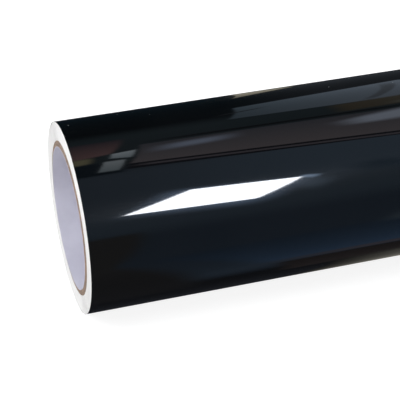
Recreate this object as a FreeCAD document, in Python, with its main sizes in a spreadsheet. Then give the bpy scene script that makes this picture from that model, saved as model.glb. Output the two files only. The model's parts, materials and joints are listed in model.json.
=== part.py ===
import FreeCAD, Part
import Sketcher
import math
import os

# A roll of self-adhesive sign vinyl, wound film side out on a spiral-wound paperboard core.
#
# Frame, in millimetres: X runs along the core, Z is up, and the origin is on the core's axis halfway
# along it. Angles round the roll are polar angles in the YZ plane, from +Y towards +Z.
#
# The web is a release liner with a film on it. It winds clockwise seen from +X, on a spiral of half
# turns about two centres that are half a lap apart. The laps under the outer one are wound tight, and
# are one solid. The outer lap has its two layers. It ends at the tail's root angle, and the last
# stretch of web, the tail, lies on from there as three strips that lift off the roll. The film's edge
# is a strip of its own, because it peels from the liner, and three tapes hold it down.

DIMENSIONS = (
    ("roll_width", 610.0, "web width and core length"),
    ("bore_radius", 38.1, "bore of a three inch core"),
    ("lining_thick", 0.2, "white paper lining of the core"),
    ("ply_thick", 0.5, "one ply of core board"),
    ("ply_count", 6, "plies of core board"),
    ("start_tape_thick", 0.1, "tape that holds the web's inner end"),
    ("start_tape_angle", 30.0, "how far round the core that tape reaches"),
    ("start_tape_inset", 5.0, "from each end of the core to that tape"),
    ("liner_thick", 0.12, "coated release paper"),
    ("film_thick", 0.07, "film with its adhesive"),
    ("wound_laps", 51, "laps below the outer one"),
    ("tail_root_angle", 57.0, "where the tail leaves the outer lap"),
    ("tail_gap", 0.1, "from the lap below to the tail"),
    ("root_strip_angle", 20.0, "tail strip next to the roll"),
    ("middle_strip_angle", 20.0, "tail strip after it"),
    ("end_strip_angle", 30.0, "tail strip with the cut end"),
    ("peel_edge_angle", 22.0, "part of the end strip whose film peels"),
    ("peel_gap", 0.05, "from the liner to the film's edge strip"),
    ("hinge_gap_angle", 0.12, "between strips that turn on each other"),
    ("strip_arcs", 5, "short arcs that one curved strip is patterned from"),
    ("tape_thick", 0.06, "one tape over the tail's end"),
    ("tape_width", 25.0, "of each of those tapes"),
    ("tape_hold_angle", 16.0, "how far a tape reaches each side of the end"),
    ("tape_spacing", 240.0, "from the middle tape to each outer one"),
)

doc = FreeCAD.newDocument("vinyl_roll")
sheet = doc.addObject("Spreadsheet::Sheet", "dims")


def fill_sheet():
    """One row for each driving dimension: its name, its value and what it is."""
    for row, (alias, value, meaning) in enumerate(DIMENSIONS, start=1):
        sheet.set(f"A{row}", alias)
        sheet.set(f"B{row}", str(value))
        sheet.set(f"C{row}", meaning)
        sheet.setAlias(f"B{row}", alias)
    doc.recompute()


def cross_section_sketch(body):
    """A sketch across the roll: its horizontal axis is +Y and its vertical axis is +Z."""
    sketch = body.newObject("Sketcher::SketchObject", f"{body.Name}_section")
    plane = next(f for f in body.Origin.OriginFeatures if f.Role == "YZ_Plane")
    sketch.AttachmentSupport = [(plane, "")]
    sketch.MapMode = "FlatFace"
    return sketch


def pad_along_roll(body, sketch, length):
    """The section padded to both sides of the roll's middle."""
    pad = body.newObject("PartDesign::Pad", f"{body.Name}_pad")
    pad.Profile = sketch
    pad.Midplane = True
    pad.setExpression("Length", length)
    sketch.Visibility = False
    return body


def name_and_bind(sketch, index, name, expression):
    """Gives a sketch's constraint a name, and its value to a formula of the sheet's cells."""
    sketch.renameConstraint(index, name)
    sketch.setExpression(f"Constraints.{name}", expression)


def ring(label, inner, outer, length="dims.roll_width"):
    """A plain tube round the roll's axis. inner and outer are formulas for its radii."""
    body = doc.addObject("PartDesign::Body", label)
    body.Label = label
    sketch = cross_section_sketch(body)
    for name, radius in (("outer_radius", outer), ("inner_radius", inner)):
        guess = 40.0 if name == "inner_radius" else 50.0
        circle = sketch.addGeometry(Part.Circle(FreeCAD.Vector(), FreeCAD.Vector(0, 0, 1), guess), False)
        sketch.addConstraint(Sketcher.Constraint("Coincident", circle, 3, -1, 1))
        size = sketch.addConstraint(Sketcher.Constraint("Radius", circle, guess))
        name_and_bind(sketch, size, name, radius)
    return pad_along_roll(body, sketch, length)


def sector(label, inner, outer, first, last, length="dims.roll_width"):
    """A curved strip round the roll's axis, from the angle first to a smaller angle, last.

    All four are formulas. The strip is one short arc, patterned round the roll. The sketch starts from
    the arc's angles as they are now, so that the solver keeps it on its own side of the roll.
    """
    body = doc.addObject("PartDesign::Body", label)
    body.Label = label
    sketch = cross_section_sketch(body)
    arc_end = f"{last} + ({first} - ({last})) / dims.strip_arcs"
    start, stop = (math.radians(sheet.evalExpression(a)) for a in (last, arc_end))
    centre = FreeCAD.Vector()
    up = FreeCAD.Vector(0, 0, 1)
    radii = [sheet.evalExpression(r) for r in (inner, outer)]
    arcs = [
        sketch.addGeometry(Part.ArcOfCircle(Part.Circle(centre, up, r), start, stop), False)
        for r in radii
    ]
    ends = []
    for angle in (start, stop):
        direction = FreeCAD.Vector(math.cos(angle), math.sin(angle), 0)
        line = Part.LineSegment(direction * radii[0], direction * radii[1])
        ends.append(sketch.addGeometry(line, False))
    for arc in arcs:
        sketch.addConstraint(Sketcher.Constraint("Coincident", arc, 3, -1, 1))
    for line, arc_point in zip(ends, (1, 2)):
        for arc, line_point in zip(arcs, (1, 2)):
            sketch.addConstraint(Sketcher.Constraint("Coincident", line, line_point, arc, arc_point))
        sketch.addConstraint(Sketcher.Constraint("PointOnObject", -1, 1, line))
    for arc, radius, name, formula in zip(arcs, radii, ("inner_radius", "outer_radius"), (inner, outer)):
        size = sketch.addConstraint(Sketcher.Constraint("Radius", arc, radius))
        name_and_bind(sketch, size, name, formula)
    for line, angle, name, formula in zip(ends, (start, stop), ("last_angle", "arc_angle"), (last, arc_end)):
        turn = sketch.addConstraint(Sketcher.Constraint("Angle", line, angle))
        name_and_bind(sketch, turn, name, formula)
    pad_along_roll(body, sketch, length)
    return pattern_round_roll(body, f"({first} - ({last})) * (1 - 1 / dims.strip_arcs)")


def pattern_round_roll(body, angle):
    """The body's pad repeated strip_arcs times round the roll, over a formula's angle, end to end."""
    pattern = body.newObject("PartDesign::PolarPattern", f"{body.Name}_pattern")
    pattern.Originals = [body.Tip]
    axis = next(f for f in body.Origin.OriginFeatures if f.Role == "X_Axis")
    pattern.Axis = (axis, [""])
    pattern.setExpression("Angle", angle)
    pattern.setExpression("Occurrences", "dims.strip_arcs")
    pattern.Refine = False
    body.Tip = pattern
    return body


def lap_face(radius):
    """One lap of a spiral across the roll, as two arcs, from radius at the root angle outwards."""
    root = math.radians(sheet.tail_root_angle)
    outwards = FreeCAD.Vector(0, math.cos(root), math.sin(root))
    arcs = []
    for half in (0, 1):
        centre = outwards * (half * sheet.lap_pitch / 2)
        points = []
        for turned in (0.0, 0.5, 1.0):
            angle = root - math.pi * (half + turned)
            direction = FreeCAD.Vector(0, math.cos(angle), math.sin(angle))
            points.append(centre + direction * (radius + half * sheet.lap_pitch / 2))
        arcs.append(Part.Arc(*points).toShape())
    return arcs


def radial_line(inner_radius, outer_radius):
    """The web's cut section across the roll, at the root angle."""
    root = math.radians(sheet.tail_root_angle)
    outwards = FreeCAD.Vector(0, math.cos(root), math.sin(root))
    return Part.makeLine(outwards * inner_radius, outwards * outer_radius)


def wound(label, section):
    """A section of the web, drawn across the roll's middle, made as long as the roll is wide."""
    section.translate(FreeCAD.Vector(-sheet.roll_width / 2, 0, 0))
    web = doc.addObject("Part::Feature", label)
    web.Label = label
    web.Shape = section.extrude(FreeCAD.Vector(sheet.roll_width, 0, 0))
    web.Placement = FreeCAD.Placement()
    return web


def layer_section(inner_radius, outer_radius):
    """One layer of one lap, between two radii that both grow by a lap's pitch on the way round."""
    pitch = sheet.lap_pitch
    start = radial_line(inner_radius, outer_radius)
    end = radial_line(inner_radius + pitch, outer_radius + pitch)
    edges = [start, *lap_face(outer_radius), end, *lap_face(inner_radius)]
    return Part.Face(Part.Wire(Part.__sortEdges__(edges)))


def laps_section(inner_radius, outer_radius):
    """Many laps as one ring, with the web's first edge as a step inside and its last one outside."""
    pitch = sheet.lap_pitch
    loops = []
    for radius in (outer_radius, inner_radius):
        step = radial_line(radius, radius + pitch)
        loops.append(Part.Wire(Part.__sortEdges__([step, *lap_face(radius)])))
    return Part.makeFace(loops, "Part::FaceMakerBullseye")


def add_derived_cells():
    """Cells that follow from the driving ones: radii of the core and of the web on it."""
    derived = (
        ("core_radius", "=bore_radius + lining_thick + ply_count * ply_thick"),
        ("web_radius", "=core_radius + start_tape_thick"),
        ("lap_pitch", "=liner_thick + film_thick"),
        ("outer_lap_radius", "=web_radius + wound_laps * lap_pitch"),
        ("tail_radius", "=outer_lap_radius + lap_pitch + tail_gap"),
    )
    for row, (alias, formula) in enumerate(derived, start=len(DIMENSIONS) + 1):
        sheet.set(f"A{row}", alias)
        sheet.set(f"B{row}", formula)
        sheet.setAlias(f"B{row}", alias)
        doc.recompute()


def core():
    """The core: a white paper lining inside plies of kraft board, glued one on the other."""
    made = [ring("core_lining", "dims.bore_radius", "dims.bore_radius + dims.lining_thick")]
    for ply in range(int(sheet.ply_count)):
        inner = f"dims.bore_radius + dims.lining_thick + {ply} * dims.ply_thick"
        made.append(ring(f"core_ply_{ply + 1}", inner, f"{inner} + dims.ply_thick"))
    return made


def start_tape():
    """The double-sided tape between the core and the web's inner end, which starts at the root angle."""
    return sector(
        "start_tape",
        "dims.core_radius",
        "dims.web_radius",
        "dims.tail_root_angle",
        "dims.tail_root_angle - dims.start_tape_angle",
        "dims.roll_width - 2 * dims.start_tape_inset",
    )


def wound_web():
    """The laps under the outer one, then the outer lap's liner and its film."""
    start = sheet.outer_lap_radius
    between = start + sheet.liner_thick
    return [
        wound("wound_web", laps_section(sheet.web_radius, start)),
        wound("outer_lap_liner", layer_section(start, between)),
        wound("outer_lap_film", layer_section(between, start + sheet.lap_pitch)),
    ]


def tail():
    """The tail's strips, liner and film, each a hinge gap short of the next, and the film's edge."""
    made = []
    liner_top = "dims.tail_radius + dims.liner_thick"
    film_top = "dims.tail_radius + dims.lap_pitch"
    reached = "dims.tail_root_angle"
    for place in ("root", "middle", "end"):
        first = f"{reached} - dims.hinge_gap_angle / 2"
        reached = f"{reached} - dims.{place}_strip_angle"
        last = f"{reached} + dims.hinge_gap_angle / 2"
        film_last = f"{last} + dims.peel_edge_angle" if place == "end" else last
        made.append(sector(f"tail_liner_{place}", "dims.tail_radius", liner_top, first, last))
        made.append(sector(f"tail_film_{place}", liner_top, film_top, first, film_last))
    edge_first = f"{reached} + dims.peel_edge_angle - dims.hinge_gap_angle / 2"
    made.append(
        sector(
            "film_edge",
            f"{liner_top} + dims.peel_gap",
            f"{film_top} + dims.peel_gap",
            edge_first,
            f"{reached} + dims.hinge_gap_angle / 2",
        )
    )
    return made


def end_tapes():
    """Three short tapes, half on the film's edge and half past it, over the lap below."""
    face = "dims.tail_radius + dims.lap_pitch + dims.peel_gap"
    turned = "dims.root_strip_angle + dims.middle_strip_angle + dims.end_strip_angle"
    end = f"dims.tail_root_angle - ({turned})"
    made = []
    for place, step in (("left", -1), ("middle", 0), ("right", 1)):
        tape = sector(
            f"end_tape_{place}",
            face,
            f"{face} + dims.tape_thick",
            f"{end} + dims.tape_hold_angle",
            f"{end} - dims.tape_hold_angle",
            "dims.tape_width",
        )
        tape.setExpression(".Placement.Base.x", f"{step} * dims.tape_spacing")
        made.append(tape)
    return made


def check(pieces):
    """Stops if anything failed to build, or if a piece isn't one valid solid."""
    for item in doc.Objects:
        if "Invalid" in item.State or "Error" in item.State:
            raise RuntimeError(f"{item.Label} didn't build: {item.State}")
    for piece in pieces:
        shape = piece.Shape
        if shape.isNull() or not shape.isValid() or len(shape.Solids) != 1:
            raise RuntimeError(f"{piece.Label} isn't one valid solid")


def export(pieces):
    """Writes each piece to parts/LABEL.step."""
    os.makedirs("parts", exist_ok=True)
    for piece in pieces:
        piece.Shape.exportStep(os.path.join("parts", f"{piece.Label}.step"))


fill_sheet()
add_derived_cells()
pieces = core() + [start_tape()] + wound_web() + tail() + end_tapes()
doc.recompute()
check(pieces)
export(pieces)
for piece in pieces:
    print(f"{piece.Label}: {piece.Shape.Volume:.1f} mm3")
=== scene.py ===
"""A roll of glossy black sign vinyl on its core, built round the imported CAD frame.

Everything is in metres, in the frame's own axes: X along the core, Z up, the origin on the core's axis
halfway along. Angles round the roll are polar angles in the YZ plane, in radians, from +Y towards +Z.
The web winds towards smaller angles, so a place along it is a number of turns from its inner end.
"""

import json
import math

import bmesh
import bpy
import numpy as np
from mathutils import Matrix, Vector


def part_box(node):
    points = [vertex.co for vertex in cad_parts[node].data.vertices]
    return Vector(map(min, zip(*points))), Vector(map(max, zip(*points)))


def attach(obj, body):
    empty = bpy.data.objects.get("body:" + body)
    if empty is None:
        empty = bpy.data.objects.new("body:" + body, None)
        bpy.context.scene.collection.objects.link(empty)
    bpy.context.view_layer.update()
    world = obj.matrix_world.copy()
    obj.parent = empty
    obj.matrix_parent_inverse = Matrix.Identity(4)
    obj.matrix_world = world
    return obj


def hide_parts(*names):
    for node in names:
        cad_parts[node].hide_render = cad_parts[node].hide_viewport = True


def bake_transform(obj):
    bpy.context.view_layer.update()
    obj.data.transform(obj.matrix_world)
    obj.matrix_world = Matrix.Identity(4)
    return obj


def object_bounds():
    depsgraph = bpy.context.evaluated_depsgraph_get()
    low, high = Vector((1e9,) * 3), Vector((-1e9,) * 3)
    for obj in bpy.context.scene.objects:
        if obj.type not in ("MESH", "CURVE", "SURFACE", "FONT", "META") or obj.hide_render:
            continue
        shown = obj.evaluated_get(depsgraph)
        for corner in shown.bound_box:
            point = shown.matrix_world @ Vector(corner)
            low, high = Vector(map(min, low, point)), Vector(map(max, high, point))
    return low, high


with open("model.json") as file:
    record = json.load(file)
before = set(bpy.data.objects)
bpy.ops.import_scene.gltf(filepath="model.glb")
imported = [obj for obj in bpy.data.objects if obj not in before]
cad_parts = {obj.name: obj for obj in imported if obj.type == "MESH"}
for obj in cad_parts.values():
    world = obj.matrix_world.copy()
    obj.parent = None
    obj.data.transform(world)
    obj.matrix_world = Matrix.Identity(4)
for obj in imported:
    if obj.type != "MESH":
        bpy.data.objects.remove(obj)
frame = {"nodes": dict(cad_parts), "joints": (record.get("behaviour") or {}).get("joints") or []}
cad_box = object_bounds()

MM = 0.001
FULL_TURN = 2 * math.pi

# The web and its tail, as the frame has them.
LINER_THICK = 0.12 * MM
FILM_THICK = 0.07 * MM
LAP = LINER_THICK + FILM_THICK
WOUND_LAPS = 51
START_TAPE_THICK = 0.1 * MM
LINING_THICK = 0.2 * MM
PLY_THICK = 0.5 * MM
PLY_COUNT = 6
TAIL_GAP = 0.1 * MM
CUT_ANGLE = math.radians(-13)

# How far the lining's helix goes along the core in a turn.
LINING_PITCH = 130 * MM

half_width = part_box("wound_web")[1].x
core_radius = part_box(f"core_ply_{PLY_COUNT}")[1].z
web_radius = core_radius + START_TAPE_THICK


def hinge_angle(joint_name):
    """The angle round the roll at which a joint's axis lies."""
    joint = next(j for j in frame["joints"] if j["name"] == joint_name)
    _, y, z = joint["pos_m"]
    return math.atan2(z, y)


ROOT = hinge_angle("tail_lift")
BEND = hinge_angle("tail_bend")
CURL = hinge_angle("tail_curl")
PEEL = hinge_angle("film_peel")

# Angles past the hinges: where the tail's strips meet, and over which the gap under the tail opens and the
# film stands off the liner.
ROOT_CURVE = math.radians(10)
JOINT_CURVE = math.radians(7.5)
PEEL_CURVE = math.radians(5.5)

# ---------------------------------------------------------------- meshes


class Maker:
    """Collects points and faces, and makes one object of them."""

    def __init__(self):
        self.points = []
        self.faces = []
        self.paints = []

    def add_points(self, points):
        """Adds an array of points, and returns their numbers in the array's shape."""
        flat = np.asarray(points, float).reshape(-1, 3)
        first = len(self.points)
        self.points.extend(map(tuple, flat))
        return np.arange(first, first + len(flat)).reshape(np.shape(points)[:-1])

    def face(self, numbers, paint=0):
        self.faces.append([int(n) for n in numbers])
        self.paints.append(paint)

    def bridge(self, row_a, row_b, paint=0):
        """Quads between two rows of points."""
        for i in range(len(row_a) - 1):
            self.face((row_a[i], row_a[i + 1], row_b[i + 1], row_b[i]), paint)

    def skin(self, numbers, paint=0):
        """Quads over a grid of point numbers."""
        for row_a, row_b in zip(numbers[:-1], numbers[1:]):
            self.bridge(row_a, row_b, paint)

    def make(self, name, materials, weld=0.0, sharp_degrees=30):
        """The object, with points nearer than weld merged and edges over sharp_degrees kept sharp."""
        mesh = bpy.data.meshes.new(name)
        mesh.from_pydata(self.points, [], self.faces)
        for material in materials:
            mesh.materials.append(material)
        mesh.polygons.foreach_set("material_index", self.paints)
        work = bmesh.new()
        work.from_mesh(mesh)
        if weld:
            bmesh.ops.remove_doubles(work, verts=work.verts, dist=weld)
        bmesh.ops.recalc_face_normals(work, faces=work.faces)
        work.to_mesh(mesh)
        work.free()
        mesh.shade_smooth()
        mesh.set_sharp_from_angle(angle=math.radians(sharp_degrees))
        piece = bpy.data.objects.new(name, mesh)
        bpy.context.scene.collection.objects.link(piece)
        return piece


def place(length, angle, radius):
    """Points of the roll from their place along it, angle and radius."""
    length, angle, radius = np.broadcast_arrays(length, angle, radius)
    return np.stack([length, radius * np.cos(angle), radius * np.sin(angle)], axis=-1)


def smooth_step(value, low, high):
    """0 below low, 1 above high, and a smooth rise between them."""
    t = np.clip((np.asarray(value) - low) / (high - low), 0, 1)
    return t * t * (3 - 2 * t)


def sheet_round_roll(name, angles, lengths, inner, outer, materials):
    """A thin closed sheet that lies round the roll.

    inner and outer are functions that give its radii from angles and lengths. The first material is its
    outer face and its edges, and the last is its inner face.
    """
    maker = Maker()
    angle, length = np.meshgrid(angles, lengths, indexing="ij")
    top = maker.add_points(place(length, angle, outer(angle, length)))
    ends = [0, -1]
    under_angle = angle[:, ends]
    under_length = length[:, ends]
    under_radius = inner(under_angle, under_length)
    under = maker.add_points(place(under_length, under_angle, under_radius))
    maker.skin(top)
    maker.skin(under, len(materials) - 1)
    for end in ends:
        maker.bridge(top[:, end], under[:, end])
        maker.face([*top[end], *under[end][::-1]])
    return maker.make(name, materials)


def turned_ring(name, profile, materials):
    """A closed ring. profile(angle) gives the (length, radius) points of its closed outline there."""
    maker = Maker()
    rows = []
    for angle in np.arange(CORE_STEPS) * FULL_TURN / CORE_STEPS:
        length, radius = profile(angle).T
        rows.append(maker.add_points(place(length, angle, radius)))
    rows.append(rows[0])
    for row_a, row_b in zip(rows[:-1], rows[1:]):
        for i in range(len(row_a)):
            j = (i + 1) % len(row_a)
            maker.face((row_a[i], row_a[j], row_b[j], row_b[i]))
    return maker.make(name, materials)


# ---------------------------------------------------------------- materials


def new_material(name, **values):
    """A Principled material with these values on the shader's own sockets."""
    material = bpy.data.materials.new(name)
    material.use_nodes = True
    shader = material.node_tree.nodes["Principled BSDF"]
    for socket, value in values.items():
        shader.inputs[socket.replace("_", " ")].default_value = value
    return material


class Nodes:
    """Adds nodes to a material or a world. Inputs are values or other nodes' sockets."""

    def __init__(self, owner):
        self.tree = owner.node_tree

    def add(self, kind, inputs=(), output=0, **settings):
        node = self.tree.nodes.new("ShaderNode" + kind)
        for key, value in settings.items():
            setattr(node, key, value)
        for key, value in dict(inputs).items():
            self.plug(value, node.inputs[key])
        return node.outputs[output]

    def plug(self, value, socket):
        if isinstance(value, bpy.types.NodeSocket):
            self.tree.links.new(value, socket)
        else:
            socket.default_value = value

    def math(self, operation, a, b=0.0, c=0.0):
        return self.add("Math", {0: a, 1: b, 2: c}, operation=operation)

    def ramp(self, value, low, high, to_low=0.0, to_high=1.0):
        """A smooth change from to_low at low to to_high at high."""
        inputs = {"Value": value, "From Min": low, "From Max": high, "To Min": to_low, "To Max": to_high}
        return self.add("MapRange", inputs, interpolation_type="SMOOTHSTEP")

    def mix(self, share, a, b):
        """Colour a where share is 0, and b where it is 1."""
        node = self.tree.nodes.new("ShaderNodeMix")
        node.data_type = "RGBA"
        # Its colour sockets share their names with other kinds, so they go by number.
        self.plug(share, node.inputs[0])
        self.plug(a, node.inputs[6])
        self.plug(b, node.inputs[7])
        return node.outputs[2]

    def noise(self, vector, scale, detail=3.0, roughness=0.5):
        """Noise with scale grains per unit of the vector."""
        inputs = {"Vector": vector, "Scale": scale, "Detail": detail, "Roughness": roughness}
        return self.add("TexNoise", inputs)

    def bump(self, height, distance):
        return self.add("Bump", {"Height": height, "Distance": distance, "Strength": 1.0})

    def shader(self, socket_name, value):
        self.plug(value, self.tree.nodes["Principled BSDF"].inputs[socket_name])

    def position(self):
        """Where a point of the surface is in the frame, at rest."""
        return self.add("TexCoord", output="Object")

    def round_roll(self):
        """(place along the roll, angle, distance from its axis) of a point, as three sockets."""
        separate = self.tree.nodes.new("ShaderNodeSeparateXYZ")
        self.plug(self.position(), separate.inputs[0])
        length, y, z = separate.outputs
        angle = self.math("ARCTAN2", z, y)
        radius = self.math("SQRT", self.math("MULTIPLY_ADD", y, y, self.math("MULTIPLY", z, z)))
        return length, angle, radius

    def unrolled(self, scale_along=1.0, scale_round=1.0):
        """The surface laid flat: place along the roll and arc length, both scaled, and radius."""
        length, angle, radius = self.round_roll()
        arc = self.math("MULTIPLY", self.math("MULTIPLY", angle, radius), scale_round)
        along = self.math("MULTIPLY", length, scale_along)
        return self.add("CombineXYZ", {0: along, 1: arc, 2: radius})

    def band(self, value, rise, fall):
        """1 between the two pairs of values, 0 outside them, and smooth between each pair's two."""
        return self.math("MULTIPLY", self.ramp(value, *rise), self.ramp(value, *fall, 1.0, 0.0))


def grey(value):
    return (value, value, value, 1.0)


def film_material():
    """Glossy black vinyl: a hard clear gloss over a faint haze, with fine calender lines.

    Dust has settled on its top, towards the back, and there are a few tiny bubbles under it.
    """
    material = new_material(
        "black_film",
        Base_Color=(0.0014, 0.0015, 0.0017, 1.0),
        Roughness=0.22,
        Specular_IOR_Level=0.012,
        Coat_Weight=1.0,
        Coat_Roughness=0.03,
        Coat_IOR=1.5,
    )
    nodes = Nodes(material)
    position = nodes.position()
    _, angle, _ = nodes.round_roll()
    cells = nodes.tree.nodes.new("ShaderNodeTexVoronoi")
    nodes.plug(position, cells.inputs["Vector"])
    cells.inputs["Scale"].default_value = 260.0
    from_centre = cells.outputs["Distance"]
    random_colour = nodes.tree.nodes.new("ShaderNodeSeparateColor")
    nodes.plug(cells.outputs["Color"], random_colour.inputs[0])
    random_red, random_green, _ = random_colour.outputs

    dust_share = 0.16
    dusty = nodes.math("GREATER_THAN", random_red, 1 - dust_share)
    settled = nodes.band(angle, (0.8, 1.0), (1.45, 1.75))
    speck = nodes.math("MULTIPLY", dusty, nodes.ramp(from_centre, 0.05, 0.09, 1.0, 0.0))
    speck = nodes.math("MULTIPLY", speck, settled)
    cloud = nodes.ramp(nodes.noise(position, 22.0), 0.4, 0.7)
    black = nodes.mix(cloud, (0.0012, 0.0013, 0.0015, 1.0), (0.0017, 0.0018, 0.0021, 1.0))
    nodes.shader("Base Color", nodes.mix(speck, black, (0.42, 0.43, 0.44, 1.0)))

    bubble_share = 0.07
    raised = nodes.math("GREATER_THAN", random_green, 1 - bubble_share)
    bubble = nodes.math("MULTIPLY", raised, nodes.ramp(from_centre, 0.0, 0.16, 12.0, 0.0))
    lines = nodes.noise(nodes.unrolled(900.0, 12.0), 1.0, 2.0)
    orange_peel = nodes.noise(position, 320.0, 2.0)
    height = nodes.math("MULTIPLY_ADD", lines, 0.35, orange_peel)
    height = nodes.math("ADD", height, bubble)
    nodes.shader("Coat Normal", nodes.bump(height, 0.0012 * MM))
    return material


def film_back_material():
    """The adhesive side of the film: dark grey and satin."""
    material = new_material(
        "film_adhesive",
        Base_Color=grey(0.16),
        Roughness=0.42,
        Specular_IOR_Level=0.4,
    )
    nodes = Nodes(material)
    mottle = nodes.noise(nodes.position(), 700.0, 4.0, 0.6)
    nodes.shader("Base Color", nodes.mix(nodes.ramp(mottle, 0.3, 0.7), grey(0.13), grey(0.19)))
    nodes.shader("Normal", nodes.bump(mottle, 0.01 * MM))
    return material


def liner_material(name, shade, roughness):
    """White release paper, faintly fibrous."""
    material = new_material(name, Base_Color=shade, Roughness=roughness)
    nodes = Nodes(material)
    fibre = nodes.noise(nodes.unrolled(1.0, 3.0), 420.0, 5.0, 0.6)
    darker = tuple(0.95 * c for c in shade[:3]) + (1.0,)
    nodes.shader("Base Color", nodes.mix(nodes.ramp(fibre, 0.35, 0.65), darker, shade))
    nodes.shader("Normal", nodes.bump(fibre, 0.012 * MM))
    return material


def web_material():
    """The wound laps: white liner edges with the film's edges as fine lines between them."""
    material = new_material("web_edges", Base_Color=(0.86, 0.85, 0.84, 1.0), Roughness=0.75)
    nodes = Nodes(material)
    _, angle, radius = nodes.round_roll()
    keep_positive = 8.0
    wound = nodes.math("DIVIDE", nodes.math("SUBTRACT", radius, web_radius), LAP)
    turned = nodes.math("DIVIDE", nodes.math("SUBTRACT", ROOT, angle), FULL_TURN)
    laps = nodes.math("ADD", nodes.math("SUBTRACT", wound, turned), keep_positive)
    line = nodes.band(nodes.math("FRACT", laps), (0.62, 0.72), (0.88, 0.98))
    patch = nodes.noise(nodes.position(), 90.0, 3.0)
    line = nodes.math("MULTIPLY", line, nodes.ramp(patch, 0.30, 0.75, 0.25, 0.55))
    fibre = nodes.noise(nodes.position(), 2600.0, 3.0, 0.6)
    white = nodes.mix(nodes.ramp(fibre, 0.3, 0.7), (0.73, 0.72, 0.71, 1.0), (0.81, 0.805, 0.795, 1.0))
    nodes.shader("Base Color", nodes.mix(line, white, grey(0.22)))
    nodes.shader("Normal", nodes.bump(fibre, 0.02 * MM))
    return material


def board_material(shade):
    """Kraft core board: long fibres, paler and darker flecks."""
    material = new_material("core_board", Base_Color=shade, Roughness=0.85)
    nodes = Nodes(material)
    flecks = nodes.noise(nodes.position(), 900.0, 5.0, 0.65)
    fibres = nodes.noise(nodes.unrolled(1.0, 0.12), 1500.0, 3.0, 0.6)
    light = tuple(min(1.0, 1.3 * c) for c in shade[:3]) + (1.0,)
    dark = tuple(0.6 * c for c in shade[:3]) + (1.0,)
    base = nodes.mix(nodes.ramp(fibres, 0.3, 0.7), dark, light)
    nodes.shader("Base Color", nodes.mix(nodes.ramp(flecks, 0.45, 0.75, 0.0, 0.5), base, dark))
    height = nodes.math("ADD", flecks, fibres)
    nodes.shader("Normal", nodes.bump(height, 0.08 * MM))
    return material


def lining_material():
    """The paper that lines the core, wound as a helix with a butt seam: white paper, painted a pale
    lavender grey as the cool shade inside the core.
    """
    # Painted shade: the white lining paper gets a lavender grey base colour for the cool shade inside the
    # core.
    material = new_material("lining_paper_painted_shade", Base_Color=(0.50, 0.49, 0.56, 1.0), Roughness=0.6)
    nodes = Nodes(material)
    length, angle, _ = nodes.round_roll()
    turned = nodes.math("DIVIDE", angle, FULL_TURN)
    pitches = nodes.math("DIVIDE", length, LINING_PITCH)
    strip = nodes.math("FRACT", nodes.math("ADD", pitches, turned))
    from_seam = nodes.math("MINIMUM", strip, nodes.math("SUBTRACT", 1.0, strip))
    seam = nodes.ramp(from_seam, 0.0, 0.006, 1.0, 0.0)
    cloud = nodes.noise(nodes.unrolled(1.0, 1.0), 60.0, 4.0, 0.55)
    fibre = nodes.noise(nodes.unrolled(1.0, 2.0), 1500.0, 4.0, 0.6)
    # Painted shade: these lavender greys stand in for the cool shade inside the core. The cloud between
    # them is the paper's own random tone.
    paper = nodes.mix(nodes.ramp(cloud, 0.3, 0.7), (0.55, 0.54, 0.63, 1.0), (0.62, 0.61, 0.70, 1.0))
    seam_tint = nodes.math("MULTIPLY", seam, 0.45)
    nodes.shader("Base Color", nodes.mix(seam_tint, paper, (0.25, 0.22, 0.24, 1.0)))
    height = nodes.math("SUBTRACT", nodes.math("MULTIPLY", fibre, 0.15), seam)
    nodes.shader("Normal", nodes.bump(height, 0.08 * MM))
    return material


def tape_material():
    """Crepe masking tape: cream paper with fine wrinkles across it."""
    material = new_material("masking_tape", Base_Color=(0.72, 0.61, 0.40, 1.0), Roughness=0.7)
    nodes = Nodes(material)
    crepe = nodes.noise(nodes.unrolled(0.18, 1.0), 1600.0, 4.0, 0.65)
    cloud = nodes.noise(nodes.position(), 130.0, 3.0)
    tone = nodes.math("MULTIPLY_ADD", crepe, 0.6, nodes.math("MULTIPLY", cloud, 0.4))
    cream = nodes.mix(nodes.ramp(tone, 0.3, 0.7), (0.60, 0.49, 0.30, 1.0), (0.80, 0.70, 0.49, 1.0))
    nodes.shader("Base Color", cream)
    nodes.shader("Normal", nodes.bump(crepe, 0.06 * MM))
    return material


def start_tape_material():
    """The paper tape that holds the web's inner end: smooth brown kraft."""
    material = new_material("start_tape", Base_Color=(0.42, 0.28, 0.16, 1.0), Roughness=0.5)
    nodes = Nodes(material)
    fibre = nodes.noise(nodes.unrolled(0.3, 1.0), 900.0, 4.0, 0.6)
    kraft = nodes.mix(nodes.ramp(fibre, 0.3, 0.7), (0.34, 0.22, 0.12, 1.0), (0.47, 0.32, 0.19, 1.0))
    nodes.shader("Base Color", kraft)
    nodes.shader("Normal", nodes.bump(fibre, 0.03 * MM))
    return material


# ---------------------------------------------------------------- core

CORE_STEPS = 240

# The lining and the first ply stand out past the web, and each further ply by one step less.
CORE_LIP = 0.35 * MM
PLY_STEP = 0.09 * MM


def make_lining():
    """The core's lining, a tube of paper whose helical butt seam is a shallow groove."""
    seam_depth = 0.12 * MM
    seam_half_share = 0.02
    steps_along = 180
    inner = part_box("core_lining")[1].z - LINING_THICK
    outer = inner + LINING_THICK
    reach = half_width + CORE_LIP
    lengths = np.linspace(-reach, reach, steps_along + 1)

    def profile(angle):
        strip = (lengths / LINING_PITCH + angle / FULL_TURN) % 1.0
        from_seam = np.minimum(strip, 1 - strip)
        radius = inner + seam_depth * (1 - smooth_step(from_seam, 0, seam_half_share))
        inside = np.stack([lengths, radius], axis=-1)
        outside = np.array([[reach, outer], [-reach, outer]])
        return np.concatenate([inside, outside])

    piece = turned_ring("core_lining_paper", profile, [lining_material()])
    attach(piece, "roll")
    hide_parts("core_lining")


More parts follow.
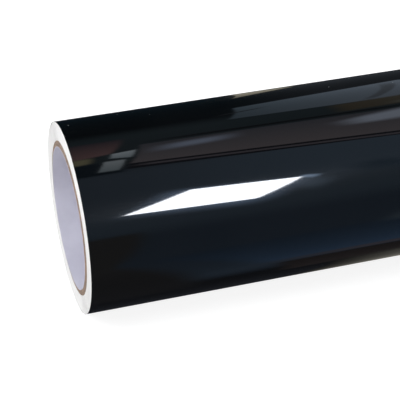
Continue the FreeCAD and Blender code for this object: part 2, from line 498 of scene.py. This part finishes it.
def make_plies():
    """The core board's plies. Their cut ends ripple, and the inner ones stand out as a faint lip."""
    rng = np.random.default_rng(11)
    edge = 0.06 * MM
    ripples = np.array([3, 7, 19, 43])
    first_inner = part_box("core_lining")[1].z
    shades = ((0.32, 0.225, 0.165, 1.0), (0.265, 0.185, 0.135, 1.0))
    boards = [board_material(shade) for shade in shades]
    for number in range(PLY_COUNT):
        inner = first_inner + number * PLY_THICK
        outer = inner + PLY_THICK
        phases = rng.uniform(0, FULL_TURN, (2, len(ripples)))
        depth = rng.uniform(0.02, 0.06) * MM

        def profile(angle):
            points = []
            for sign, phase in zip((-1, 1), phases):
                uneven = depth * (1 + np.sin(ripples * angle + phase).mean())
                end = sign * (half_width - (number * PLY_STEP - CORE_LIP + uneven))
                row = [
                    (end - sign * edge, inner),
                    (end, inner + edge),
                    (end, (inner + outer) / 2),
                    (end, outer - edge),
                    (end - sign * edge, outer),
                ]
                points.append(row if sign < 0 else row[::-1])
            return np.array(points[0] + points[1])

        piece = turned_ring(f"core_board_{number + 1}", profile, [boards[number % 2]])
        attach(piece, "roll")
        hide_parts(f"core_ply_{number + 1}")


# ---------------------------------------------------------------- wound web


def web_inner_radius(turns):
    """The web's inner face after that many turns from its inner end."""
    return web_radius + LAP * turns


def telescoping(rng, laps):
    """How far each lap's edge sits inside the roll's end, as a slow drift from lap to lap."""
    most = 0.09 * MM
    drift = np.cumsum(rng.normal(0, 1, laps + 1))
    drift -= np.linspace(drift[0], drift[-1], laps + 1)
    return most * (drift - drift.min()) / (drift.max() - drift.min())


def make_wound_laps():
    """The laps under the outer one, as one solid. Each lap's liner edge stands out at the roll's ends.

    The rows of points lie across each lap at shares of its thickness, and some are sunk into a groove.
    """
    steps = 180
    groove = 0.05 * MM
    across = np.array([0.0, 0.08, 0.56, 0.66])
    sunk = np.array([1.0, 0.0, 0.0, 1.0])
    rng = np.random.default_rng(5)
    turned = np.linspace(0, 1, steps + 1)
    angles = ROOT - FULL_TURN * turned
    rows = np.concatenate([lap + across for lap in range(WOUND_LAPS)] + [[WOUND_LAPS]])
    row_sunk = np.concatenate([np.tile(sunk, WOUND_LAPS), [1.0]])
    turns = rows[:, None] + turned[None, :]
    radius = web_inner_radius(turns)
    maker = Maker()
    ends = []
    for sign in (-1, 1):
        inset = np.interp(turns, np.arange(WOUND_LAPS + 2), telescoping(rng, WOUND_LAPS + 1))
        length = sign * (half_width - inset - groove * row_sunk[:, None])
        ends.append(maker.add_points(place(length, angles[None, :], radius)))
    for end in ends:
        maker.skin(end)
    left, right = ends
    maker.bridge(left[0], right[0])
    maker.bridge(left[-1], right[-1])
    per_lap = len(across)
    maker.face([*left[: per_lap + 1, 0], *right[: per_lap + 1, 0][::-1]])
    maker.face([*left[-per_lap - 1 :, -1], *right[-per_lap - 1 :, -1][::-1]])
    piece = maker.make("wound_laps", [web_material()], weld=1e-7, sharp_degrees=50)
    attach(piece, "roll")
    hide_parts("wound_web")


# ---------------------------------------------------------------- outer lap and tail

OUTER_STEPS_PER_TURN = 480
TAIL_STEPS_PER_TURN = 900
PEEL_STAND = 0.02 * MM

# The film's unevenness is a sum of waves, each with its radians per metre along the roll, its whole
# waves in a turn round it, and its phase.
WAVE_HEIGHT = 0.045 * MM
WAVE_FADE = 12 * MM
WAVE_COUNT = 9
WAVE_RNG = np.random.default_rng(23)
WAVES_ALONG = WAVE_RNG.uniform(8, 70, WAVE_COUNT)
WAVES_ROUND = WAVE_RNG.integers(0, 9, WAVE_COUNT)
WAVE_PHASES = WAVE_RNG.uniform(0, FULL_TURN, WAVE_COUNT)


def film_waves(angle, length):
    """How far the film's face stands proud: a slow unevenness that fades out at the roll's ends."""
    total = np.zeros(np.broadcast(angle, length).shape)
    for along, around, phase in zip(WAVES_ALONG, WAVES_ROUND, WAVE_PHASES):
        total = total + np.sin(along * length + around * angle + phase) / along ** 0.5
    total = 0.5 + 0.5 * total / np.sum(WAVES_ALONG ** -0.5)
    return WAVE_HEIGHT * total * smooth_step(half_width - np.abs(length), 0, WAVE_FADE)


def outer_turns(angle):
    """Turns from the web's inner end, for the outer lap and, with angles one turn lower, for the tail."""
    return WOUND_LAPS + (ROOT - angle) / FULL_TURN


def gap_under(angle):
    """The small gap under the tail, which opens just past its root."""
    past_root = ROOT - FULL_TURN - angle
    return TAIL_GAP * smooth_step(past_root, 0, ROOT_CURVE)


def liner_inner(angle, length):
    return web_inner_radius(outer_turns(angle)) + gap_under(angle)


def liner_outer(angle, length):
    return liner_inner(angle, length) + LINER_THICK


def film_outer(angle, length):
    return liner_outer(angle, length) + FILM_THICK + film_waves(angle, length)


def point_at(angle):
    """The film's face without its waves, at an angle of the tail and halfway along the roll."""
    return tuple(place(0.0, angle, film_outer(angle - FULL_TURN, half_width)))


def web_angles(first, last, steps_per_turn):
    """Angles from first down to last, evenly spaced."""
    count = math.ceil((first - last) / FULL_TURN * steps_per_turn)
    return np.linspace(first, last, count + 1)


def web_lengths():
    """Places along the web from end to end, closer together near its ends."""
    steps = 150
    end_spacing = 0.85
    t = np.linspace(-1, 1, steps + 1)
    t = np.sign(t) * (1 - (1 - np.abs(t)) ** (1 / end_spacing))
    return half_width * t


def make_outer_lap(film, liner):
    angles = web_angles(ROOT, ROOT - FULL_TURN, OUTER_STEPS_PER_TURN)
    lengths = web_lengths()
    piece = sheet_round_roll("outer_film", angles, lengths, liner_outer, film_outer, film)
    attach(piece, "roll")
    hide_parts("outer_lap_film")
    piece = sheet_round_roll("outer_liner", angles, lengths[[0, -1]], liner_inner, liner_outer, liner)
    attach(piece, "roll")
    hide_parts("outer_lap_liner")


def make_tail(film, liner):
    """The tail's strips, edge to edge."""
    lengths = web_lengths()
    root_end = ROOT - ROOT_CURVE
    bend_end = BEND - JOINT_CURVE
    strips = (
        ("root", ROOT, root_end, root_end, "roll", "tail_root", ROOT, root_end),
        ("middle", root_end, bend_end, bend_end, "tail_root", "tail_middle", BEND, bend_end),
        ("end", bend_end, PEEL, CUT_ANGLE, "tail_middle", "tail_end", CURL, CURL - JOINT_CURVE),
    )
    for label, first, film_last, liner_last, parent, child, start, end in strips:
        for kind, last, inner, outer, materials, places in (
            ("film", film_last, liner_outer, film_outer, film, lengths),
            ("liner", liner_last, liner_inner, liner_outer, liner, lengths[[0, -1]]),
        ):
            angles = web_angles(first - FULL_TURN, last - FULL_TURN, TAIL_STEPS_PER_TURN)
            piece = sheet_round_roll(f"{kind}_strip_{label}", angles, places, inner, outer, materials)
            point_at(start)
            point_at(end)
            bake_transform(piece)
            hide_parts(f"tail_{kind}_{label}")


def make_peel_edge(film):
    """The film's last stretch, which peels off the liner from its cut edge."""
    angles = web_angles(PEEL - FULL_TURN, CUT_ANGLE - FULL_TURN, TAIL_STEPS_PER_TURN)

    def stand(angle):
        return PEEL_STAND * smooth_step(PEEL - FULL_TURN - angle, 0, PEEL_CURVE)

    piece = sheet_round_roll(
        "peel_edge",
        angles,
        web_lengths(),
        lambda angle, length: liner_outer(angle, length) + stand(angle),
        lambda angle, length: film_outer(angle, length) + stand(angle),
        film,
    )
    point_at(PEEL)
    point_at(PEEL - PEEL_CURVE)
    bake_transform(piece)
    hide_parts("film_edge")


def make_tapes(material):
    """Three crepe tapes with pinked ends over the tail's cut end. Past it they drop to the lap below.

    The wrinkles are two waves, whose rates are radians of wave per radian round the roll.
    """
    tape_thick = 0.09 * MM
    above_tail = 0.01 * MM
    above_lap = 0.02 * MM
    first, last = math.radians(3.0), math.radians(-29.0)
    drop_angle = math.radians(2.0)
    steps = 220
    tooth_count = 9
    rows_per_tooth = 4
    tooth_angle = 0.012
    wrinkle_height = 0.012 * MM
    wrinkle_rate, fine_rate = 410, 760
    fine_share = 0.7
    for number, side in enumerate(("left", "middle", "right")):
        low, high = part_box(f"end_tape_{side}")
        rng = np.random.default_rng(40 + number)
        places = np.linspace(low.x, high.x, rows_per_tooth * tooth_count + 1)
        share = np.linspace(0, 1, steps + 1)
        saw = 2 * np.abs((np.arange(len(places)) / rows_per_tooth) % 1 - 0.5)
        start = first - tooth_angle * saw * rng.uniform(0.6, 1.0, len(places))
        stop = last + tooth_angle * (1 - saw) * rng.uniform(0.6, 1.0, len(places))
        angle = start[None, :] + (stop - start)[None, :] * share[:, None]
        length = np.broadcast_to(places, angle.shape)
        on_tail = film_outer(angle - FULL_TURN, length) + PEEL_STAND + above_tail
        on_lap = film_outer(angle, length) + above_lap
        drop = smooth_step(CUT_ANGLE - angle, 0, drop_angle)
        under = on_tail + (on_lap - on_tail) * drop
        phase = rng.uniform(0, FULL_TURN, len(places))
        drift = np.cumsum(rng.normal(0, 0.5, len(places)))
        wrinkle = np.sin(angle * wrinkle_rate + drift[None, :])
        wrinkle = wrinkle + fine_share * np.sin(angle * fine_rate + phase[None, :] * 0.4)
        over = under + tape_thick + wrinkle_height * (1 + wrinkle / (1 + fine_share))
        maker = Maker()
        top = maker.add_points(place(length, angle, over))
        bottom = maker.add_points(place(length, angle, under))
        maker.skin(top)
        maker.skin(bottom)
        for edge in (0, -1):
            maker.bridge(top[edge], bottom[edge])
            maker.bridge(top[:, edge], bottom[:, edge])
        piece = maker.make(f"hold_tape_{side}", [material])
        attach(piece, "film_corner")
        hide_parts(f"end_tape_{side}")


def make_object():
    film = [film_material(), film_back_material()]
    liner = [
        liner_material("liner_face", (0.86, 0.86, 0.85, 1.0), 0.28),
        liner_material("liner_back", (0.80, 0.80, 0.78, 1.0), 0.7),
    ]
    make_lining()
    make_plies()
    make_wound_laps()
    make_outer_lap(film, liner)
    make_tail(film, liner)
    make_peel_edge(film)
    make_tapes(tape_material())
    start_tape = frame["nodes"]["start_tape"]
    start_tape.data.materials.clear()
    start_tape.data.materials.append(start_tape_material())


# ---------------------------------------------------------------- studio

CEILING = 1.5
FRONT_WALL = -1.6
BACK_WALL = 1.6
GROUND = -1.2


def on_ceiling(*corners, nearer=0.0):
    return [(x, y, CEILING - nearer) for x, y in corners]


def on_front(*corners, nearer=0.0):
    return [(x, FRONT_WALL + nearer, z) for x, z in corners]


def on_back(*corners, nearer=0.0):
    return [(x, BACK_WALL - nearer, z) for x, z in corners]


def on_ground(*corners, nearer=0.0):
    return [(x, y, GROUND + nearer) for x, y in corners]


def panel_mesh(name, corners):
    """A grid between four corners. Its panel map goes from 0 to 1 both ways."""
    steps = 12
    t = np.linspace(0, 1, steps + 1)
    a, b, c, d = (np.array(corner) for corner in corners)
    u, v = np.meshgrid(t, t, indexing="ij")
    flat = np.stack([u, v], -1).reshape(-1, 2)
    u, v = u[..., None], v[..., None]
    points = (1 - u) * (1 - v) * a + u * (1 - v) * b + u * v * c + (1 - u) * v * d
    numbers = np.arange((steps + 1) ** 2).reshape(steps + 1, steps + 1)
    quads = np.stack([numbers[:-1, :-1], numbers[1:, :-1], numbers[1:, 1:], numbers[:-1, 1:]], -1)
    mesh = bpy.data.meshes.new(name)
    mesh.from_pydata([tuple(p) for p in points.reshape(-1, 3)], [], quads.reshape(-1, 4).tolist())
    layer = mesh.uv_layers.new(name="panel")
    loops = np.zeros(len(mesh.loops), int)
    mesh.loops.foreach_get("vertex_index", loops)
    layer.data.foreach_set("uv", flat[loops].ravel())
    return mesh


def panel_material(name, colour, soft, far_colour):
    """A glow that fades out towards the panel's edges."""
    material = bpy.data.materials.new(name)
    material.use_nodes = True
    nodes = Nodes(material)
    nodes.tree.nodes.clear()
    separate = nodes.tree.nodes.new("ShaderNodeSeparateXYZ")
    nodes.plug(nodes.add("UVMap", uv_map="panel"), separate.inputs[0])
    across, down, _ = separate.outputs
    fades = []
    for value in (across, down):
        from_edge = nodes.math("MINIMUM", value, nodes.math("SUBTRACT", 1.0, value))
        fades.append(nodes.ramp(from_edge, 0.0, soft))
    share = nodes.math("MULTIPLY", *fades)
    blend = nodes.mix(across, (*colour, 1.0), (*far_colour, 1.0))
    glow = nodes.add("Emission", {"Color": blend, "Strength": 1.0})
    clear = nodes.add("BsdfTransparent")
    shown = nodes.add("MixShader", {0: share, 1: clear, 2: glow})
    output = nodes.tree.nodes.new("ShaderNodeOutputMaterial")
    nodes.plug(shown, output.inputs["Surface"])
    return material


def card(name, corners, colour, soft=0.1, far_colour=None):
    """A glowing four-sided panel that only the gloss reflects.

    soft is how far its edges fade, as a share of its size. Its colour turns to far_colour from its first
    and last corners to its second and third.
    """
    mesh = panel_mesh(name, corners)
    mesh.materials.append(panel_material(name, colour, soft, far_colour or colour))
    panel = bpy.data.objects.new(name, mesh)
    bpy.context.scene.collection.objects.link(panel)
    panel.visible_camera = False
    panel.visible_diffuse = False
    panel.visible_shadow = False


def make_front_cards():
    """The bright panel in front with its glow and haze, a smudge beside it, a patch and a wall below."""
    key = ((0.033, 0.79), (0.275, 1.525), (0.469, 1.195), (0.275, 0.595))
    card("key_panel", on_front(*key, nearer=0.02), (30, 31, 33), 0.035)
    glow = ((-0.03, 0.66), (0.26, 1.88), (0.53, 1.25), (0.28, 0.30))
    card("key_glow", on_front(*glow), (1.5, 2.1, 3.1), 0.3)
    haze = ((0.36, 1.05), (0.49, 1.42), (0.52, 0.90), (0.37, 0.42))
    card("key_haze", on_front(*haze, nearer=-0.01), (0.54, 0.76, 1.04), 0.4)
    smudge = ((0.50, 0.82), (0.60, 1.52), (0.82, 1.75), (0.72, 0.78))
    card("front_smudge", on_front(*smudge, nearer=-0.02), (0.14, 0.24, 0.36), 0.45)
    tip = ((0.44, 1.22), (0.50, 1.34), (0.515, 1.18), (0.46, 1.0))
    card("key_tip", on_front(*tip, nearer=0.01), (2.3, 3.2, 4.5), 0.35)
    patch = ((0.52, -0.45), (0.92, -0.70), (0.96, -1.45), (0.57, -1.25))
    card("low_patch", on_front(*patch), (0.44, 0.60, 0.72), 0.45)
    wall = ((-0.9, -2.4), (-0.9, 0.2), (0.06, 0.2), (0.06, -2.4))
    card("low_wall", on_front(*wall), (0.135, 0.133, 0.133), 0.05)


def make_ceiling_cards():
    """A two-pane window, a long beam with light on it and dark edges, and coloured boards beside them."""
    far_pane = ((-0.02, 0.15), (-0.01, 0.32), (0.04, 0.36), (0.02, 0.07))
    card("window_far", on_ceiling(*far_pane, nearer=0.02), (1.2, 1.45, 1.6), 0.15, (2.1, 2.4, 2.6))
    near_pane = ((-0.03, 0.10), (-0.045, -0.27), (0.0, -0.29), (0.01, 0.08))
    card("window_near", on_ceiling(*near_pane, nearer=0.02), (1.75, 1.95, 2.1), 0.15, (0.9, 1.1, 1.2))
    shade = ((-0.18, -0.36), (-0.18, 0.07), (-0.03, 0.09), (0.03, -0.38))
    card("window_shade", on_ceiling(*shade), (0.03, 0.06, 0.09), 0.12)
    beam = ((0.01, -0.11), (0.05, 0.52), (0.61, 0.34), (0.60, -0.53))
    card("beam", on_ceiling(*beam, nearer=0.01), (0.64, 0.57, 0.61), 0.02, (0.29, 0.30, 0.36))
    trim = ((0.0, -0.20), (0.01, -0.15), (0.61, -0.58), (0.61, -0.64))
    card("beam_trim", on_ceiling(*trim, nearer=0.01), (0.46, 0.42, 0.48))
    beam_dark = ((-0.01, -0.27), (0.0, 0.0), (0.61, -0.46), (0.62, -0.67))
    card("beam_shade", on_ceiling(*beam_dark, nearer=0.005), (0.04, 0.04, 0.06), 0.05)
    edge = ((0.03, 0.55), (0.04, 0.66), (0.60, 0.47), (0.61, 0.38))
    card("beam_edge", on_ceiling(*edge, nearer=0.015), (0.035, 0.04, 0.05), 0.25)
    light_left = ((0.02, 0.10), (0.05, 0.42), (0.24, 0.44), (0.22, 0.14))
    card("beam_light_left", on_ceiling(*light_left, nearer=0.02), (1.15, 1.35, 1.8), 0.45)
    light_right = ((0.34, 0.20), (0.62, 0.54), (0.60, -0.14), (0.37, -0.03))
    card("beam_light_right", on_ceiling(*light_right, nearer=0.02), (1.6, 1.8, 2.2), 0.35)
    red = ((-0.16, 0.15), (-0.14, 1.0), (0.08, 0.96), (0.0, 0.30))
    card("red_board", on_ceiling(*red), (0.80, 0.47, 0.47), 0.1, (0.12, 0.12, 0.16))
    olive = ((-0.14, -0.02), (-0.12, 0.32), (-0.03, 0.30), (-0.04, 0.06))
    card("olive_board", on_ceiling(*olive, nearer=0.01), (0.95, 0.86, 0.52), 0.3)
    shelf = ((0.40, 0.52), (0.66, 0.50), (0.70, 1.06), (0.47, 1.02))
    card("shelf", on_ceiling(*shelf), (0.25, 0.20, 0.13), 0.2, (0.37, 0.34, 0.27))
    shelf_light = ((0.50, 0.60), (0.68, 0.52), (0.69, 0.71), (0.53, 0.74))
    card("shelf_light", on_ceiling(*shelf_light, nearer=0.01), (0.30, 0.29, 0.24), 0.3, (0.85, 0.86, 0.68))


def make_ground_cards():
    """The ground: dark at the near end, blue in front, then a seam, brown, and pale behind the roll."""
    dark = ((-0.8, -2.1), (-0.8, 0.15), (0.06, 0.15), (0.12, -2.1))
    card("dark_ground", on_ground(*dark), (0.165, 0.163, 0.166), 0.08, (0.035, 0.036, 0.042))
    blue = ((0.13, -1.9), (0.13, -0.40), (0.80, -0.36), (0.80, -1.9))
    card("blue_ground", on_ground(*blue), (0.09, 0.15, 0.24), 0.08, (0.14, 0.25, 0.44))
    seam = ((0.10, -0.50), (0.10, -0.34), (0.80, -0.32), (0.80, -0.46))
    card("ground_seam", on_ground(*seam, nearer=0.01), (0.24, 0.22, 0.27), 0.35)
    brown = ((0.15, -0.36), (0.15, 0.10), (0.80, 0.10), (0.80, -0.34))
    card("brown_ground", on_ground(*brown, nearer=-0.01), (0.075, 0.062, 0.062), 0.06)
    pale = ((0.22, 0.0), (0.52, -0.04), (0.75, 1.6), (0.28, 1.6))
    card("pale_ground", on_ground(*pale), (0.01, 0.01, 0.01), 0.12, (0.45, 0.43, 0.37))


def make_back_cards():
    """The slate panel with its bar and smear, a pale sill, and bright side panels for the other views."""
    panel = ((0.32, 1.01), (0.63, 0.70), (1.15, 2.52), (0.52, 2.12))
    card("back_panel", on_back(*panel), (0.26, 0.36, 0.45), 0.03, (0.61, 0.73, 0.90))
    bar = ((0.565, 0.72), (0.60, 0.69), (1.02, 2.40), (0.98, 2.44))
    card("back_bar", on_back(*bar, nearer=0.01), (0.34, 0.39, 0.46), 0.25)
    smear = ((0.36, 1.60), (0.46, 1.40), (0.47, 1.27), (0.36, 1.44))
    card("back_smear", on_back(*smear, nearer=0.01), (0.10, 0.11, 0.13), 0.35)
    sill = ((0.275, -0.55), (0.37, -0.45), (0.385, -0.31), (0.248, 0.158))
    card("back_sill", on_back(*sill), (0.42, 0.39, 0.31), 0.04)
    low, high = 0.5, 1.5
    for label, wall, first, last in (
        ("front", on_front, -2.4, -1.2),
        ("back_left", on_back, -1.3, -0.25),
        ("back_right", on_back, 1.5, 2.6),
    ):
        corners = wall((first, low), (first, high), (last, high), (last, low))
        card(f"side_panel_{label}", corners, (9, 9.5, 10))


def make_lights():
    """Soft light for dull surfaces. The gloss doesn't show the lamps."""

    def area(name, at, target, size, power, colour):
        light = bpy.data.lights.new(name, "AREA")
        light.shape = "SQUARE"
        light.size = size
        light.energy = power
        light.color = colour
        lamp = bpy.data.objects.new(name, light)
        lamp.location = at
        direction = Vector(target) - lamp.location
        lamp.rotation_euler = direction.to_track_quat("-Z", "Y").to_euler()
        lamp.visible_camera = False
        lamp.visible_glossy = False
        bpy.context.scene.collection.objects.link(lamp)

    area("top_softbox", (0.2, -0.3, 1.6), (0, 0, 0), 1.6, 10.0, (1.0, 0.99, 0.98))
    area("end_softbox", (-1.3, -0.3, 1.1), (-0.3, 0, 0), 0.9, 19.0, (0.97, 0.98, 1.0))
    area("far_end_softbox", (1.3, 0.3, 1.1), (0.3, 0, 0), 0.9, 10.0, (1.0, 0.99, 0.97))


def make_world():
    """White to the camera, grey light for dull surfaces, and for the gloss a dim room, darker behind."""
    world = bpy.data.worlds.new("studio")
    bpy.context.scene.world = world
    world.use_nodes = True
    nodes = Nodes(world)
    nodes.tree.nodes.clear()
    direction = nodes.tree.nodes.new("ShaderNodeSeparateXYZ")
    nodes.plug(nodes.add("TexCoord", output="Generated"), direction.inputs[0])
    along, back, up = direction.outputs

    low, high = (0.12, 0.175, 0.255, 1.0), (0.20, 0.285, 0.385, 1.0)
    front_low = nodes.mix(nodes.ramp(up, -0.08, 0.22), low, high)
    near, far = (0.20, 0.27, 0.36, 1.0), (0.29, 0.41, 0.56, 1.0)
    front_high = nodes.mix(nodes.ramp(along, 0.15, 0.35), near, far)
    front = nodes.mix(nodes.ramp(up, 0.40, 0.60), front_low, front_high)
    near, far = (0.006, 0.014, 0.020, 1.0), (0.045, 0.052, 0.062, 1.0)
    behind_level = nodes.mix(nodes.ramp(along, 0.26, 0.36), near, far)
    behind_low = nodes.mix(nodes.ramp(up, -0.4, -0.1), (0.022, 0.024, 0.03, 1.0), behind_level)
    behind = nodes.mix(nodes.ramp(up, 0.64, 0.82), behind_low, (0.088, 0.132, 0.155, 1.0))
    room = nodes.mix(nodes.ramp(back, -0.3, 0.0), front, behind)

    path = nodes.tree.nodes.new("ShaderNodeLightPath")
    soft = nodes.mix(path.outputs["Is Camera Ray"], grey(0.30), grey(1.0))
    colour = nodes.mix(path.outputs["Is Glossy Ray"], soft, room)
    background = nodes.add("Background", {"Color": colour, "Strength": 1.0})
    output = nodes.tree.nodes.new("ShaderNodeOutputWorld")
    nodes.plug(background, output.inputs["Surface"])


def make_floor():
    """A plain pale floor. It glows a little, so that only the contact shadow shows on it."""
    reach = 12.0
    clearance = 0.05 * MM
    level = cad_box[0].z - clearance
    corners = [(reach * x, reach * y, level) for x, y in ((-1, -1), (1, -1), (1, 1), (-1, 1))]
    mesh = bpy.data.meshes.new("floor")
    mesh.from_pydata(corners, [], [range(4)])
    material = new_material("pale_floor", Base_Color=grey(0.33), Roughness=1.0, Specular_IOR_Level=0.0)
    nodes = Nodes(material)
    nodes.shader("Emission Color", grey(1.0))
    nodes.shader("Emission Strength", 0.88)
    mesh.materials.append(material)
    floor = bpy.data.objects.new("floor", mesh)
    bpy.context.scene.collection.objects.link(floor)
    floor.visible_glossy = False


def make_camera():
    """The view from above the near end, past it along the roll."""
    lens = bpy.data.cameras.new("camera")
    lens.lens = 118.45
    lens.sensor_width = 36.0
    lens.clip_start = 0.01
    camera = bpy.data.objects.new("camera", lens)
    camera.location = (-0.40694, -0.56670, 0.39234)
    heading = math.radians(17.09)
    tilt = math.radians(33.67)
    camera.rotation_euler = (math.pi / 2 - tilt, 0, -heading)
    bpy.context.scene.collection.objects.link(camera)
    bpy.context.scene.camera = camera


make_camera()
make_object()
make_floor()
make_world()
make_lights()
make_front_cards()
make_ceiling_cards()
make_ground_cards()
make_back_cards()
bpy.context.scene.view_settings.view_transform = "Standard"
